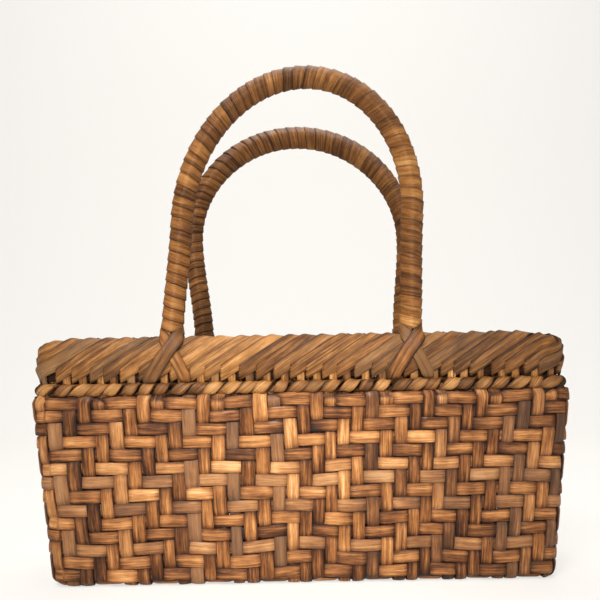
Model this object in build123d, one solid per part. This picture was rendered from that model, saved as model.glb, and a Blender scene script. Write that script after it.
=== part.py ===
from build123d import *
import os
from bisect import bisect_left
from math import ceil, cos, pi, radians, sin, sqrt, tan

# Basket box bag woven from bark strip, standing on its flat base, in millimetres
# +X runs along the long side, +Y to the back, +Z up; the origin lies under the middle of the base

# Body, measured in the grooves between the strips: the walls flare from the base to the shoulder,
# and the neck under the rim is drawn in again
base_length = 310.0
base_width = 86.0
length_flare = 26.0
width_flare = 11.0
weave_top = 117.0
shoulder_drop = 4.0
neck_length_step = 14.0
neck_width_step = 6.0
corner_radius = 9.0
base_edge_radius = 8.0
wall_thickness = 2.2

# Twill of flat strips: each strip runs over two and under two, one stake further on in each row
stake_pitch = 8.4
side_stake_pitch = 9.4
row_spacing = 8.1
strip_crown = 1.2
strip_end_slope = 3.6
corner_stakes = 2
inner_hollow = 0.7
inner_crown = 0.5

# Twined row below the rim
twining_row = 8.0
twining_margin = 0.5
twining_edge = 0.5
twining_bulge = 3.2
inner_twining_bulge = 2.2

# Rim: two hoops clamp the top of the wall, and slanted strips are wrapped over them
rim_gap = 1.8
rim_face = 17.4
rim_bevel = 6.5
hoop_foot_half = 4.9
hoop_shoulder_half = 5.5
hoop_top_half = 2.3
rim_strip_pitch = 12.9
rim_strip_low = 1.4
rim_strip_high = 2.3
rim_strip_rise = 0.28
rim_shoulder_growth = 0.35
rim_top_growth = 0.7
rim_strip_slant = 30.0

# Handles: stiff cores bent to an arch and wrapped with a flat strip
handle_lean = 5.2
core_width = 9.6
core_depth = 8.6
core_segments = 14
tang_width = 8.0
tang_lift = 7.2
wrap_width = 13.6
wrap_depth = 12.4
wrap_groove = 0.7
wrap_pitch = 9.0
wrap_slant = 1.6
wrap_lap = 0.25
wrap_start = 8.4
handle_leg_share = 0.22
path_samples = 600
tang_lap = 1.0

# Each handle by its centreline: middle of the feet, half span at the feet and at the arch,
# height of the legs, rise of the arch above them, and how far the top leans to the right
front_centre = -5.4
front_foot = 75.3
front_arch = 72.8
front_leg = 74.0
front_rise = 89.3
front_sway = 11.3
rear_centre = 2.9
rear_foot = 74.2
rear_arch = 81.3
rear_leg = 80.2
rear_rise = 80.8
rear_sway = -3.3

# Crossed lashings that bind each foot of a handle to the rim
lashing_width = 7.4
lashing_thickness = 1.2
lashing_tip_offset = 11.5
lashing_angle = 28.0
lashing_end_gap = 1.2
seat_gap = 0.1

# Margins of the working, not sizes of the bag
flat_tolerance = 1e-7
sharpest_corner = 1.0
cut_margin = 2.0

shoulder_length = base_length + length_flare
shoulder_width = base_width + width_flare
shoulder_height = weave_top - shoulder_drop
neck_length = shoulder_length - neck_length_step
neck_width = shoulder_width - neck_width_step
neck_height = weave_top + twining_row
rim_bottom = neck_height + rim_gap
rim_shoulder = rim_bottom + rim_face
rim_top = rim_shoulder + rim_bevel
tang_bottom = rim_bottom + tang_lift
rim_centre = -wall_thickness / 2
crest = rim_top + rim_strip_high
edge_arc = base_edge_radius * pi / 2
lashing_top = crest + wrap_start - lashing_end_gap


def side_counts():
    """Stakes on a long and on a short side; the twill closes only on a multiple of four."""
    long_flat = (base_length + shoulder_length) / 2 - 2 * corner_radius
    short_flat = (base_width + shoulder_width) / 2 - 2 * corner_radius
    long_count = max(round(long_flat / stake_pitch), 2)
    short_count = max(round(short_flat / side_stake_pitch), 2)
    if (long_count + short_count) % 2:
        short_count += 1
    return long_count, short_count


long_stakes, short_stakes = side_counts()
stake_count = 2 * (long_stakes + short_stakes) + 4 * corner_stakes
weave_run = edge_arc + weave_top - base_edge_radius
row_count = round(weave_run / row_spacing)
row_pitch = weave_run / row_count


def side_starts():
    """Each side as its first stake, its number of stakes and the way it faces."""
    sides = []
    first = 0
    for turn in range(4):
        count = long_stakes if turn % 2 == 0 else short_stakes
        sides.append((first, count, radians(90 * turn - 90)))
        first += count + corner_stakes
    return sides


def plan_point(stake, half_length, half_width, radius):
    """Point of a rounded rectangle at a stake, which may be a fraction."""
    radius = max(radius, sharpest_corner)
    flat_x = half_length - radius
    flat_y = half_width - radius
    centres = [(-flat_x, -flat_y), (flat_x, -flat_y), (flat_x, flat_y), (-flat_x, flat_y)]
    place = stake % stake_count
    for turn, (first, count, facing) in enumerate(side_starts()):
        start = centres[turn]
        end = centres[(turn + 1) % 4]
        along = place - first
        if along <= count:
            share = along / count
            x = start[0] + (end[0] - start[0]) * share + radius * cos(facing)
            y = start[1] + (end[1] - start[1]) * share + radius * sin(facing)
            return x, y
        if along <= count + corner_stakes:
            angle = facing + pi / 2 * (along - count) / corner_stakes
            return end[0] + radius * cos(angle), end[1] + radius * sin(angle)


def outline(height):
    """Half length and half width of the groove surface at a height."""
    flare = min(height / shoulder_height, 1)
    share = min(max((height - shoulder_height) / (neck_height - shoulder_height), 0), 1)
    neck = share * share * (3 - 2 * share)
    half_length = base_length + (shoulder_length - base_length) * flare
    half_width = base_width + (shoulder_width - base_width) * flare
    half_length += (neck_length - shoulder_length) * neck
    half_width += (neck_width - shoulder_width) * neck
    return half_length / 2, half_width / 2


def wall_point(stake, run, out=0.0):
    """Point of the wall at a stake and a run up from the flat base, raised by out."""
    angle = min(run / base_edge_radius, pi / 2)
    inset = base_edge_radius * (1 - sin(angle))
    height = base_edge_radius * (1 - cos(angle)) + max(run - edge_arc, 0)
    half_length, half_width = outline(max(height, base_edge_radius))
    shift = out * sin(angle) - inset
    x, y = plan_point(stake, half_length + shift, half_width + shift, corner_radius + shift)
    return x, y, height - out * cos(angle)


def rim_point(stake, out, height):
    """Point at a distance out from the wall's upright top band."""
    x, y = plan_point(stake, neck_length / 2 + out, neck_width / 2 + out, corner_radius + out)
    return x, y, height


def neck_point(stake, share, out):
    """Point on the slanted band between the weave and the rim, share 0 to 1 upwards."""
    low_length, low_width = outline(weave_top)
    half_length = low_length + (neck_length / 2 - low_length) * share + out
    half_width = low_width + (neck_width / 2 - low_width) * share + out
    x, y = plan_point(stake, half_length, half_width, corner_radius + out)
    return x, y, weave_top + (neck_height - weave_top) * share


def ring_places():
    """Stakes at which a plain ring has a vertex: the ends of each side and the corner steps."""
    places = []
    for first, count, facing in side_starts():
        places.append(first)
        places += [first + count + step for step in range(corner_stakes)]
    return places


plain_ring = ring_places()
full_ring = list(range(stake_count))
inner_ring = [place for first, count, facing in side_starts() for place in (first, first + count)]


def patch(points):
    """One flat face through the points, or a fan of triangles where they don't lie in a plane."""
    corners = [Vector(*point) for point in points]
    first = corners[0]
    normal = Vector(0, 0, 0)
    for a, b in zip(corners[1:], corners[2:]):
        normal += (a - first).cross(b - first)
    normal = normal.normalized()
    if max(abs((corner - first).dot(normal)) for corner in corners) < flat_tolerance:
        return [Face(Wire.make_polygon(corners))]
    return [Face(Wire.make_polygon([first, a, b])) for a, b in zip(corners[1:], corners[2:])]


def closed(faces):
    """Solid inside a closed set of faces."""
    solid = Solid(Shell(faces))
    return solid if solid.volume > 0 else Solid(solid.wrapped.Reversed())


def facet_band(lower, upper, lower_places, upper_places, stretches=plain_ring):
    """Faces between two rings, one for each flat stretch, with extra points where a neighbour has them."""
    faces = []
    ends = stretches[1:] + [stake_count]
    for start, end in zip(stretches, ends):
        low = [lower(start)] + [lower(p) for p in lower_places if start < p < end] + [lower(end)]
        high = [upper(start)] + [upper(p) for p in upper_places if start < p < end] + [upper(end)]
        faces += patch(low + high[::-1])
    return faces


def plain_hoop(levels):
    """Solid ring with a closed section; each level gives a point for a stake."""
    faces = []
    for lower, upper in zip(levels, levels[1:] + levels[:1]):
        faces += facet_band(lower, upper, [], [])
    return closed(faces)


def strip_float(along, across, width_along, point):
    """Hipped ridge of one strip over a rectangle of the grid, two cells long or one."""
    a, b = along
    c, d = across
    middle = (c + d) / 2
    if b - a == 1:
        apex = point(a + 0.5, middle, strip_crown)
        ring = [point(a, c, 0), point(b, c, 0), point(b, d, 0), point(a, d, 0)]
        return sum([patch([apex, ring[n], ring[(n + 1) % 4]]) for n in range(4)], [])
    start = point(a + width_along, middle, strip_crown)
    end = point(b - width_along, middle, strip_crown)
    near = [point(a, c, 0), point(a + 1, c, 0), point(b, c, 0)]
    far = [point(b, d, 0), point(a + 1, d, 0), point(a, d, 0)]
    faces = patch([start] + near + [end])
    faces += patch([end, near[2], far[0]])
    faces += patch([end] + far + [start])
    faces += patch([start, far[2], near[0]])
    return faces


def twill_faces():
    """All strips that show on the outside of the wall."""
    slope = strip_end_slope / row_spacing
    faces = []

    def weaver(stake, row, out):
        return wall_point(stake, row * row_pitch, out)

    def upright(row, stake, out):
        return wall_point(stake, row * row_pitch, out)

    for row in range(row_count):
        for stake in range(stake_count):
            step = (stake - row) % 4
            if step == 0:
                faces += strip_float((stake, stake + 2), (row, row + 1), slope, weaver)
            if step == 3:
                top = min(row + 2, row_count)
                faces += strip_float((row, top), (stake, stake + 1), slope, upright)
            if step == 2 and row == 0:
                faces += strip_float((row, row + 1), (stake, stake + 1), slope, upright)
    return faces


def woven_body():
    """Twill wall, plain floor and the upright band that the rim clamps."""
    levels = [
        lambda p: rim_point(p, 0, neck_height),
        lambda p: rim_point(p, 0, rim_top),
        lambda p: rim_point(p, -wall_thickness, rim_top),
        lambda p: rim_point(p, -wall_thickness, neck_height),
        lambda p: neck_point(p, 0, -wall_thickness),
    ]
    faces = twill_faces()
    faces += patch([wall_point(stake, 0) for stake in full_ring])
    faces += facet_band(lambda p: wall_point(p, weave_run), levels[0], full_ring, [])
    for lower, upper in zip(levels, levels[1:]):
        faces += facet_band(lower, upper, [], [])
    inner = [(0, -wall_thickness), (edge_arc / 2, -wall_thickness)]
    first_ridge = ceil(edge_arc / row_pitch)
    for row in range(first_ridge, row_count):
        inner.append((row * row_pitch, -wall_thickness + inner_hollow))
        inner.append(((row + 0.5) * row_pitch, -wall_thickness - inner_crown))
    inner.append((weave_run, -wall_thickness - inner_crown))
    for (low, low_out), (high, high_out) in zip(inner, inner[1:]):
        faces += facet_band(lambda p: wall_point(p, low, low_out), lambda p: wall_point(p, high, high_out),
                            [], [], inner_ring)
    faces += facet_band(lambda p: wall_point(p, weave_run, -wall_thickness - inner_crown), levels[-1],
                        [], plain_ring, inner_ring)
    faces += patch([wall_point(place, 0, -wall_thickness) for place in inner_ring])
    return closed(faces)


def outer_twining():
    """Row of slanted strands on the outside, one bead for each stake."""
    low = twining_margin / (neck_height - weave_top)
    high = 1 - low
    faces = []
    for stake in full_ring:
        foot = [neck_point(stake, low, twining_edge), neck_point(stake + 1, low, twining_edge)]
        head = [neck_point(stake + 2, high, twining_edge), neck_point(stake + 1, high, twining_edge)]
        apex = neck_point(stake + 1, 0.5, twining_bulge)
        ring = foot + head
        for n in range(4):
            faces += patch([apex, ring[n], ring[(n + 1) % 4]])
    for share in (low, high):
        outer = Wire.make_polygon([Vector(*neck_point(p, share, twining_edge)) for p in full_ring])
        inner = Wire.make_polygon([Vector(*neck_point(p, share, 0)) for p in plain_ring])
        faces.append(Face(outer, [inner]))
    faces += facet_band(lambda p: neck_point(p, low, 0), lambda p: neck_point(p, high, 0), [], [])
    return closed(faces)


def inner_twining():
    """The same row on the inside, as a plain rounded ring."""
    low = twining_margin / (neck_height - weave_top)
    high = 1 - low
    near = -wall_thickness
    levels = [
        lambda p: neck_point(p, low, near),
        lambda p: neck_point(p, 0.5, near - inner_twining_bulge),
        lambda p: neck_point(p, high, near),
    ]
    return plain_hoop(levels)


def hoop(side):
    """One of the two hoops that clamp the wall: side 1 is the outer, -1 the inner."""
    face = rim_centre + side * wall_thickness / 2
    foot = rim_centre + side * hoop_foot_half
    shoulder = rim_centre + side * hoop_shoulder_half
    top = rim_centre + side * hoop_top_half
    levels = [
        lambda p: rim_point(p, face, rim_bottom),
        lambda p: rim_point(p, foot, rim_bottom),
        lambda p: rim_point(p, shoulder, rim_shoulder),
        lambda p: rim_point(p, top, rim_top),
        lambda p: rim_point(p, face, rim_top),
    ]
    return plain_hoop(levels)


def slanted(place, slant):
    """Stake position moved along its side, most in the middle and not at all at the corners."""
    for first, count, facing in side_starts():
        along = place % stake_count - first
        if 0 < along < count:
            return place + slant * along * (count - along) / count
    return place


def rim_wrapping():
    """Shingled strips over both hoops: a saw-tooth round the ring, slanted up the outer face."""
    strips = round(stake_count * stake_pitch / rim_strip_pitch)
    step = stake_count / strips
    face_rise = rim_shoulder - rim_bottom
    bevel_rise = sqrt((hoop_shoulder_half - hoop_top_half) ** 2 + (rim_top - rim_shoulder) ** 2)
    rises = [0, face_rise, face_rise + bevel_rise, face_rise + bevel_rise + 2 * hoop_top_half]
    steepest = 4 / long_stakes / stake_pitch / tan(radians(rim_strip_slant))
    outs = [hoop_foot_half, hoop_shoulder_half, hoop_top_half, -hoop_top_half]
    heights = [rim_bottom, rim_shoulder, rim_top, rim_top]
    grows = [(1, 0), (1, rim_shoulder_growth), (rim_top_growth, 1), (-rim_top_growth, 1)]

    def tooth(index, level):
        strip, high = divmod(index, 2)
        place = (strip + (rim_strip_rise if high else 0)) * step
        proud = rim_strip_high if high else rim_strip_low
        grow_out, grow_up = grows[level]
        out = rim_centre + outs[level] + proud * grow_out
        return rim_point(slanted(place, steepest * rises[level]), out, heights[level] + proud * grow_up)

    faces = []
    for level in range(3):
        for index in range(2 * strips):
            faces += patch([tooth(index, level), tooth(index + 1, level),
                            tooth(index + 1, level + 1), tooth(index, level + 1)])

    def core(out, height):
        return lambda p: rim_point(p, rim_centre + out, height)

    outer = Wire.make_polygon([Vector(*tooth(index, 0)) for index in range(2 * strips)])
    inner = Wire.make_polygon([Vector(*core(hoop_foot_half, rim_bottom)(p)) for p in plain_ring])
    faces.append(Face(outer, [inner]))
    # the inner side is laid on smooth: a plain ring joined to the last row of teeth
    last = [tooth(index, 3) for index in range(2 * strips)]
    inner_shoulder = core(-hoop_shoulder_half - rim_strip_high, rim_shoulder)
    inner_foot = core(-hoop_foot_half - rim_strip_high, rim_bottom)
    faces += zip_rings(last, [inner_shoulder(p) for p in plain_ring])
    skin = [inner_shoulder, inner_foot, core(-hoop_foot_half, rim_bottom),
            core(-hoop_shoulder_half, rim_shoulder), core(-hoop_top_half, rim_top),
            core(hoop_top_half, rim_top), core(hoop_shoulder_half, rim_shoulder),
            core(hoop_foot_half, rim_bottom)]
    for lower, upper in zip(skin, skin[1:]):
        faces += facet_band(lower, upper, [], [])
    return closed(faces)


def zip_rings(fine, coarse):
    """Triangles between two closed rings with different numbers of points."""
    faces = []
    a, b = 0, 0

    def gap(p, q):
        return (Vector(*fine[p % len(fine)]) - Vector(*coarse[q % len(coarse)])).length

    while a < len(fine) or b < len(coarse):
        here = (fine[a % len(fine)], coarse[b % len(coarse)])
        if b == len(coarse) or (a < len(fine) and gap(a + 1, b) <= gap(a, b + 1)):
            faces += patch([here[0], fine[(a + 1) % len(fine)], here[1]])
            a += 1
        else:
            faces += patch([here[0], coarse[(b + 1) % len(coarse)], here[1]])
            b += 1
    return faces


class HandlePath:
    """Centreline of one handle in its own leaning plane, from the left foot to the right."""

    def __init__(self, sizes, side):
        self.sizes = sizes
        self.side = side
        self.lean = radians(handle_lean)
        self.places = [self.flat_point(n / path_samples) for n in range(path_samples + 1)]
        self.lengths = [0.0]
        for a, b in zip(self.places, self.places[1:]):
            self.lengths.append(self.lengths[-1] + sqrt((b[0] - a[0]) ** 2 + (b[1] - a[1]) ** 2))
        self.length = self.lengths[-1]

    def flat_point(self, share):
        """Sideways place and height in the leaning plane: eased legs, half an ellipse above."""
        size = self.sizes
        leg_share = handle_leg_share
        if share < leg_share or share > 1 - leg_share:
            climb = min(share, 1 - share) / leg_share
            ease = climb * climb * (3 - 2 * climb)
            x = size["foot"] + (size["arch"] - size["foot"]) * ease
            x = -x if share < 0.5 else x
            height = size["leg"] * climb
        else:
            turn = pi * (share - leg_share) / (1 - 2 * leg_share)
            x = -size["arch"] * cos(turn)
            height = size["leg"] + size["rise"] * sin(turn)
        x += size["centre"] + size["sway"] * height / (size["leg"] + size["rise"])
        return x, height

    def at(self, length):
        """Flat place and direction at a distance along the centreline."""
        index = min(max(bisect_left(self.lengths, length), 1), len(self.lengths) - 1)
        a, b = self.places[index - 1], self.places[index]
        span = self.lengths[index] - self.lengths[index - 1]
        share = (length - self.lengths[index - 1]) / span
        x = a[0] + (b[0] - a[0]) * share
        height = a[1] + (b[1] - a[1]) * share
        return (x, height), ((b[0] - a[0]) / span, (b[1] - a[1]) / span)

    def lift(self, x, height, out):
        """Point in space from a place in the leaning plane and a distance out of it."""
        rim_y = neck_width / 2 + rim_centre
        y = rim_y + height * sin(self.lean) + out * cos(self.lean)
        z = crest + height * cos(self.lean) - out * sin(self.lean)
        return x, self.side * y, z

    def ring(self, length, section, slant=0.0):
        """Section set square on the centreline, each point given as across and out."""
        points = []
        for across, out in section:
            (x, height), (dx, dh) = self.at(length + slant * across)
            points.append(self.lift(x + dh * across, height - dx * across, out))
        return points

    def level_ring(self, length, section, height):
        """The section at an end, drawn down along the leg to a level plane."""
        points = []
        for point, ahead in zip(self.ring(length, section), self.ring(abs(length - 1), section)):
            share = (height - point[2]) / (ahead[2] - point[2])
            points.append(tuple(p + (q - p) * share for p, q in zip(point, ahead)))
        return points


def tube(rings):
    """Solid through rings that all have the same number of points."""
    faces = patch(rings[0]) + patch(rings[-1])
    count = len(rings[0])
    for low, high in zip(rings, rings[1:]):
        for n in range(count):
            m = (n + 1) % count
            faces += patch([low[n], low[m], high[m], high[n]])
    return closed(faces)


def handle_section(width, depth):
    """Four-sided section with one edge facing away from the bag, as across and out."""
    return [(0, depth / 2), (width / 2, 0), (0, -depth / 2), (-width / 2, 0)]


def handle_core(path):
    """Bent rod with a tang at each foot that the hoops clamp in the wall."""
    section = handle_section(core_width, core_depth)
    leg = wrap_start
    step = (path.length - 2 * leg) / core_segments
    rings = [path.level_ring(0, section, crest)]
    rings += [path.ring(leg + step * n, section) for n in range(core_segments + 1)]
    rings.append(path.level_ring(path.length, section, crest))
    core = tube(rings)
    for end in (0, path.length):
        (x, height), direction = path.at(end)
        wall_middle = path.side * (neck_width / 2 + rim_centre)
        tang_height = crest + tang_lap - tang_bottom
        tang = Box(tang_width, wall_thickness, tang_height, align=(Align.CENTER, Align.CENTER, Align.MIN))
        core += Pos(x, wall_middle, tang_bottom) * tang
    return core.solid()


def handle_wrapping(path, core):
    """Strip wound round the core, each turn rising to its lapped edge."""
    high = handle_section(wrap_width, wrap_depth)
    low = handle_section(wrap_width - 2 * wrap_groove, wrap_depth - 2 * wrap_groove)
    start = wrap_start
    slant = wrap_slant / wrap_width
    turns = round((path.length - 2 * start) / wrap_pitch)
    pitch = (path.length - 2 * start) / turns
    rings = [path.ring(start, low)]
    for turn in range(turns):
        rings.append(path.ring(start + (turn + wrap_lap) * pitch, high, slant))
        if turn < turns - 1:
            rings.append(path.ring(start + (turn + 1) * pitch, low, slant))
    rings.append(path.ring(path.length - start, low))
    return (tube(rings) - core).solid()


def lashing(path, end, hand, lift, core):
    """Strip looped round the rim at one foot, slanted across its front and back.

    hand is 1 where the strip passes the leg on its right and -1 on its left;
    lift is how far it stands proud where it crosses over the other strip.
    """
    (foot_x, height), direction = path.at(end)
    proud = rim_strip_high + seat_gap
    thick = lashing_thickness
    under = rim_bottom - seat_gap
    half_width = lashing_width / 2 / cos(radians(lashing_angle))
    shoulder = rim_shoulder + rim_shoulder_growth * rim_strip_high + seat_gap
    crossing = under + (lashing_tip_offset - half_width) / tan(radians(lashing_angle)) - seat_gap
    at_leg = core_depth / 2 + (lashing_top - crest) * tan(path.lean) + seat_gap + lift
    # the side of the strip that lies on the rim, from the hole in the wall up to the leg
    near = [(0, under), (hoop_foot_half + proud, under)]
    if lift:
        near.append((hoop_shoulder_half + proud + lift, crossing))
    near += [(hoop_shoulder_half + proud + lift, shoulder), (at_leg, crest + seat_gap), (at_leg, lashing_top)]
    far = [(0, under - thick), (near[1][0] + thick, under - thick)]
    far += [(out + thick, height) for out, height in near[2:]]
    half = near + far[::-1]
    middle = neck_width / 2 + rim_centre
    loop = None
    reach = lashing_tip_offset + lashing_width
    for side in (1, -1):
        outline_points = [(middle + side * out, z) for out, z in half]
        face = Face(Wire.make_polygon([Vector(foot_x - reach, y, z) for y, z in outline_points]))
        leaf = Solid.extrude(face, Vector(2 * reach, 0, 0))
        loop = leaf if loop is None else loop + leaf
    # the slanted band that the strip follows, cut off where it turns back beside the leg
    side_face = core_width / 2 + thick
    climb = tan(radians(lashing_angle))
    tip_left = -lashing_tip_offset - half_width
    tip_right = -lashing_tip_offset + half_width
    turn_height = min(under + (side_face - tip_right) / climb, lashing_top)
    top_left = min(tip_left + (lashing_top - under) * climb, core_width / 2)
    band_points = [(tip_left, under - cut_margin), (tip_right, under - cut_margin), (tip_right, under),
                   (side_face, turn_height), (side_face, lashing_top + cut_margin),
                   (top_left, lashing_top + cut_margin), (top_left, lashing_top), (tip_left, under)]
    band_face = Face(Wire.make_polygon([Vector(foot_x + hand * x, 0, z) for x, z in band_points]))
    band = Solid.extrude(band_face, Vector(0, neck_width, 0))
    strap_depth = 2 * (at_leg + thick / 2)
    strap_height = lashing_top - crest - seat_gap
    strap = Box(thick, strap_depth, strap_height, align=(Align.CENTER, Align.CENTER, Align.MIN))
    strap_x = foot_x + hand * (core_width / 2 + thick / 2)
    strip = (loop & band) + Pos(strap_x, middle, crest + seat_gap) * strap
    if path.side < 0:
        strip = mirror(strip, about=Plane.XZ)
    return (strip - core).solid()


def build():
    nodes = {}
    front = {"centre": front_centre, "foot": front_foot, "arch": front_arch,
             "leg": front_leg, "rise": front_rise, "sway": front_sway}
    rear = {"centre": rear_centre, "foot": rear_foot, "arch": rear_arch,
            "leg": rear_leg, "rise": rear_rise, "sway": rear_sway}
    handles = {"front": HandlePath(front, -1), "rear": HandlePath(rear, 1)}
    cores = {}
    for name, path in handles.items():
        cores[name] = handle_core(path)
        nodes[name + "_handle_core"] = cores[name]
        nodes[name + "_handle_wrapping"] = handle_wrapping(path, cores[name])
    body = woven_body()
    wrapping = rim_wrapping()
    for name, path in handles.items():
        # seen from outside, the upper strip of each cross climbs to the right
        climbing = -path.side
        for foot, end in (("left", 0), ("right", path.length)):
            over = lashing(path, end, climbing, lashing_thickness + seat_gap, cores[name])
            under = lashing(path, end, -climbing, 0.0, cores[name])
            nodes[name + "_" + foot + "_over_lashing"] = over
            nodes[name + "_" + foot + "_under_lashing"] = under
            body -= over
            body -= under
        body -= cores[name]
        wrapping -= cores[name]
    nodes["woven_body"] = body.solid()
    nodes["rim_wrapping"] = wrapping.solid()
    nodes["outer_twining"] = outer_twining()
    nodes["inner_twining"] = inner_twining()
    nodes["outer_rim_hoop"] = hoop(1)
    nodes["inner_rim_hoop"] = hoop(-1)
    return nodes


os.makedirs("parts", exist_ok=True)
for node, solid in build().items():
    export_step(solid, "parts/" + node + ".step")
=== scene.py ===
import bpy
import math
import numpy as np
from mathutils import Matrix, Vector


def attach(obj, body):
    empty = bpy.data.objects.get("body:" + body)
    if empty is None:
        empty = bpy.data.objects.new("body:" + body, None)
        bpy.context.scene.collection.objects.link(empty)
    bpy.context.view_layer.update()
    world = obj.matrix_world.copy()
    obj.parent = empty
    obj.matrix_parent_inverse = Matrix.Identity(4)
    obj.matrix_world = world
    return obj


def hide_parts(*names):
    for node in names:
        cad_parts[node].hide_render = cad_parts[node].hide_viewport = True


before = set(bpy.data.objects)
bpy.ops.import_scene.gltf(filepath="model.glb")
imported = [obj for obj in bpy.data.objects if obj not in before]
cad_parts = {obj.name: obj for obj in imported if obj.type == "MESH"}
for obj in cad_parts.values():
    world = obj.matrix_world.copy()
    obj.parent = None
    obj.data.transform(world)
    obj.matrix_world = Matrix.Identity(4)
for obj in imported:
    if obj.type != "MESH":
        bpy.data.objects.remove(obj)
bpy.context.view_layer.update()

# Basket box bag: every strip of the weave, rim, handles and lashings as its own ribbon, in metres

mm = 0.001
chance = np.random.default_rng(41)

# Body, sized as in the part's source: the strips swing to both sides of this surface
base_length = 310 * mm
base_width = 86 * mm
shoulder_length = 336 * mm
shoulder_width = 97 * mm
shoulder_height = 113 * mm
neck_length = 322 * mm
neck_width = 91 * mm
neck_height = 125 * mm
corner_radius = 9 * mm
sharpest_corner = 1 * mm
base_edge_radius = 8 * mm
weave_top = 117 * mm
base_lift = 2.0 * mm

# Weave: a share is a width over its spacing, a pair of widths the least and the most of that share,
# a drift changes slowly along a strip, and places are counted in stakes round the bag
long_stakes = 36
short_stakes = 10
corner_stakes = 2
row_count = 15
strip_thickness = 1.15 * mm
strip_crown = 0.45 * mm
strip_swing = 0.72 * mm
strip_share = 0.97
cross_stake_widths = (0.9, 1.04)
lengthwise_stake_widths = (0.95, 1.03)
weaver_widths = (0.94, 1.04)
edge_row_share = 0.72
edge_row_lift = 1.1 * mm
front_crowding = 0.075
wander_across = 0.1
wander_up = 0.8 * mm
float_tilt = 0.16 * mm
width_drift = 0.035
stake_tone_drift = 0.08
corner_tone_drift = 0.06
weaver_tone_drift = 0.11
dive_steepness = 1.35
neck_calming = 1.2
# Painted shade where a strip dives under the strip that crosses it
dip_shade = 0.6
corner_dip_shade = 0.5
base_share = 1.2
stake_end_height = 134 * mm

# Twined row
twining_height = 121.3 * mm
twining_radius = 2.2 * mm
twining_climb = 2.3 * mm
twining_width = 7.0 * mm
twining_out = 2.5 * mm
twining_thickness = 1.3 * mm
twining_crown = 0.6 * mm
twining_end_share = 0.66
twining_middle_growth = 0.38
twining_roundness = 1.5
twining_unevenness = 0.12
twining_tone_drift = 0.1
# Painted shade on the part of each strand that turns behind the other
twining_dip_shade = 0.3
twining_samples = 14
inner_twining_radius = 1.5 * mm
inner_twining_out = -3.4 * mm

# Rim: its angles and slopes are in degrees
rim_strip_count = 78
rim_middle_out = -1.1 * mm
rim_middle_height = 139.6 * mm
rim_half_width = 7.0 * mm
rim_half_height = 12.7 * mm
rim_roundness = 2.6
rim_foot_roundness = 3.8
rim_strip_width = 8.6 * mm
rim_strip_widths = (0.94, 1.06)
rim_strip_thickness = 0.9 * mm
rim_strip_crown = 0.4 * mm
rim_strip_tilt = 0.75 * mm
rim_strip_unevenness = 0.12 * mm
# Painted light and shade: rim strips lighter towards the left end and darker towards the right
rim_painted_light_fall = 0.3
rim_shift_spread = 0.11
rim_shift_limit = 0.14
rim_slant_spread = 0.05
rim_slant_limit = 0.035
rim_slope = 33
rim_top_slope = 46
rim_top_slope_start = 50
rim_top_slope_reach = 30
rim_outside_end = 100
rim_inside_start = 95
rim_inside_reach = 60
rim_inside_flattening = 0.6
rim_upright_length = 11 * mm
rim_end_start = 138 * mm
rim_end_reach = 24 * mm
rim_end_pull = 2.2 * mm
rim_end_drop = 2.6 * mm
tail_place = 0.56
tail_half_width = 2.5 * mm
tail_thickness = 0.9 * mm
tail_crown = 0.2 * mm
crest = 153 * mm

# Handles
handle_lean = math.radians(5.2)
handle_width = 13.0 * mm
handle_depth = 12.0 * mm
handle_roundness = 1.3
handle_leg_share = 0.22
handle_turn_pitch = 6.7 * mm
handle_strip_share = 1.22
handle_strip_thickness = 0.8 * mm
handle_strip_crown = 0.1 * mm
handle_strip_tilt = 0.45 * mm
handle_turn_steps = (0.8, 1.2)
handle_tone_spread = 0.03
handle_turn_tone_spread = 0.1
handle_greyness = 0.4
handle_foot_flare = 0.13
handle_flare_reach = 11 * mm
handle_growth_start = 0.16
handle_growth_reach = 0.24
handle_wrap_start = 1.4 * mm
handle_samples = 32

# Each handle: the side of the bag it is on, the middle of its feet, half spans at the feet and at
# the arch, height of the legs, rise of the arch, lean of the top to the right, all in mm, and how
# much thicker and how light its wrapping is
front_handle = {"side": -1, "centre": -5.4, "foot": 75.3, "arch": 72.8, "leg": 74.0, "rise": 89.3,
                "sway": 11.3, "top_growth": 0.06, "tone": 0.63}
rear_handle = {"side": 1, "centre": 2.9, "foot": 74.2, "arch": 81.3, "leg": 80.2, "rise": 80.8,
               "sway": -3.3, "top_growth": 0.32, "tone": 0.51}

# Lashings
over_lashing_width = 9.2 * mm
under_lashing_width = 7.8 * mm
lashing_thickness = 1.1 * mm
lashing_crown = 0.3 * mm
lashing_low_height = 129 * mm
lashing_low_taper = 0.22
# Painted shade on the low part of each lashing, under the rim
lashing_low_shade = 0.3
lashing_high_height = 152 * mm
lashing_high_taper = 0.3
lashing_taper_reach = 4 * mm
lashing_samples = 8
lashing_greyness = 0.2

# Bark: scale of each pattern along, across and from strip to strip, its contrast with the shift that
# takes back its mean, and how gloss, roughness and relief follow the patterns
fibre_scale = (60, 1050, 700)
fine_scale = (200, 3600, 900)
streak_scale = (22, 380, 500)
patch_scale = (75, 120, 800)
fibre_contrast = (1.15, -0.6)
streak_contrast = (0.7, -0.36)
patch_contrast = (0.5, -0.25)
gloss_contrast = (8, -4.2)
coat_roughness = 0.3
roughness_spread = 0.3
specular_level = 0.2
fine_share = 0.35
relief_strength = 0.9
relief_depth = 0.6 * mm
# Painted shade: its strength on the strips, and its depth and sharpness at their edges where strips meet
painted_shade_strength = 0.62
edge_painted_shade = 0.7
edge_sharpness = 7

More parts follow.
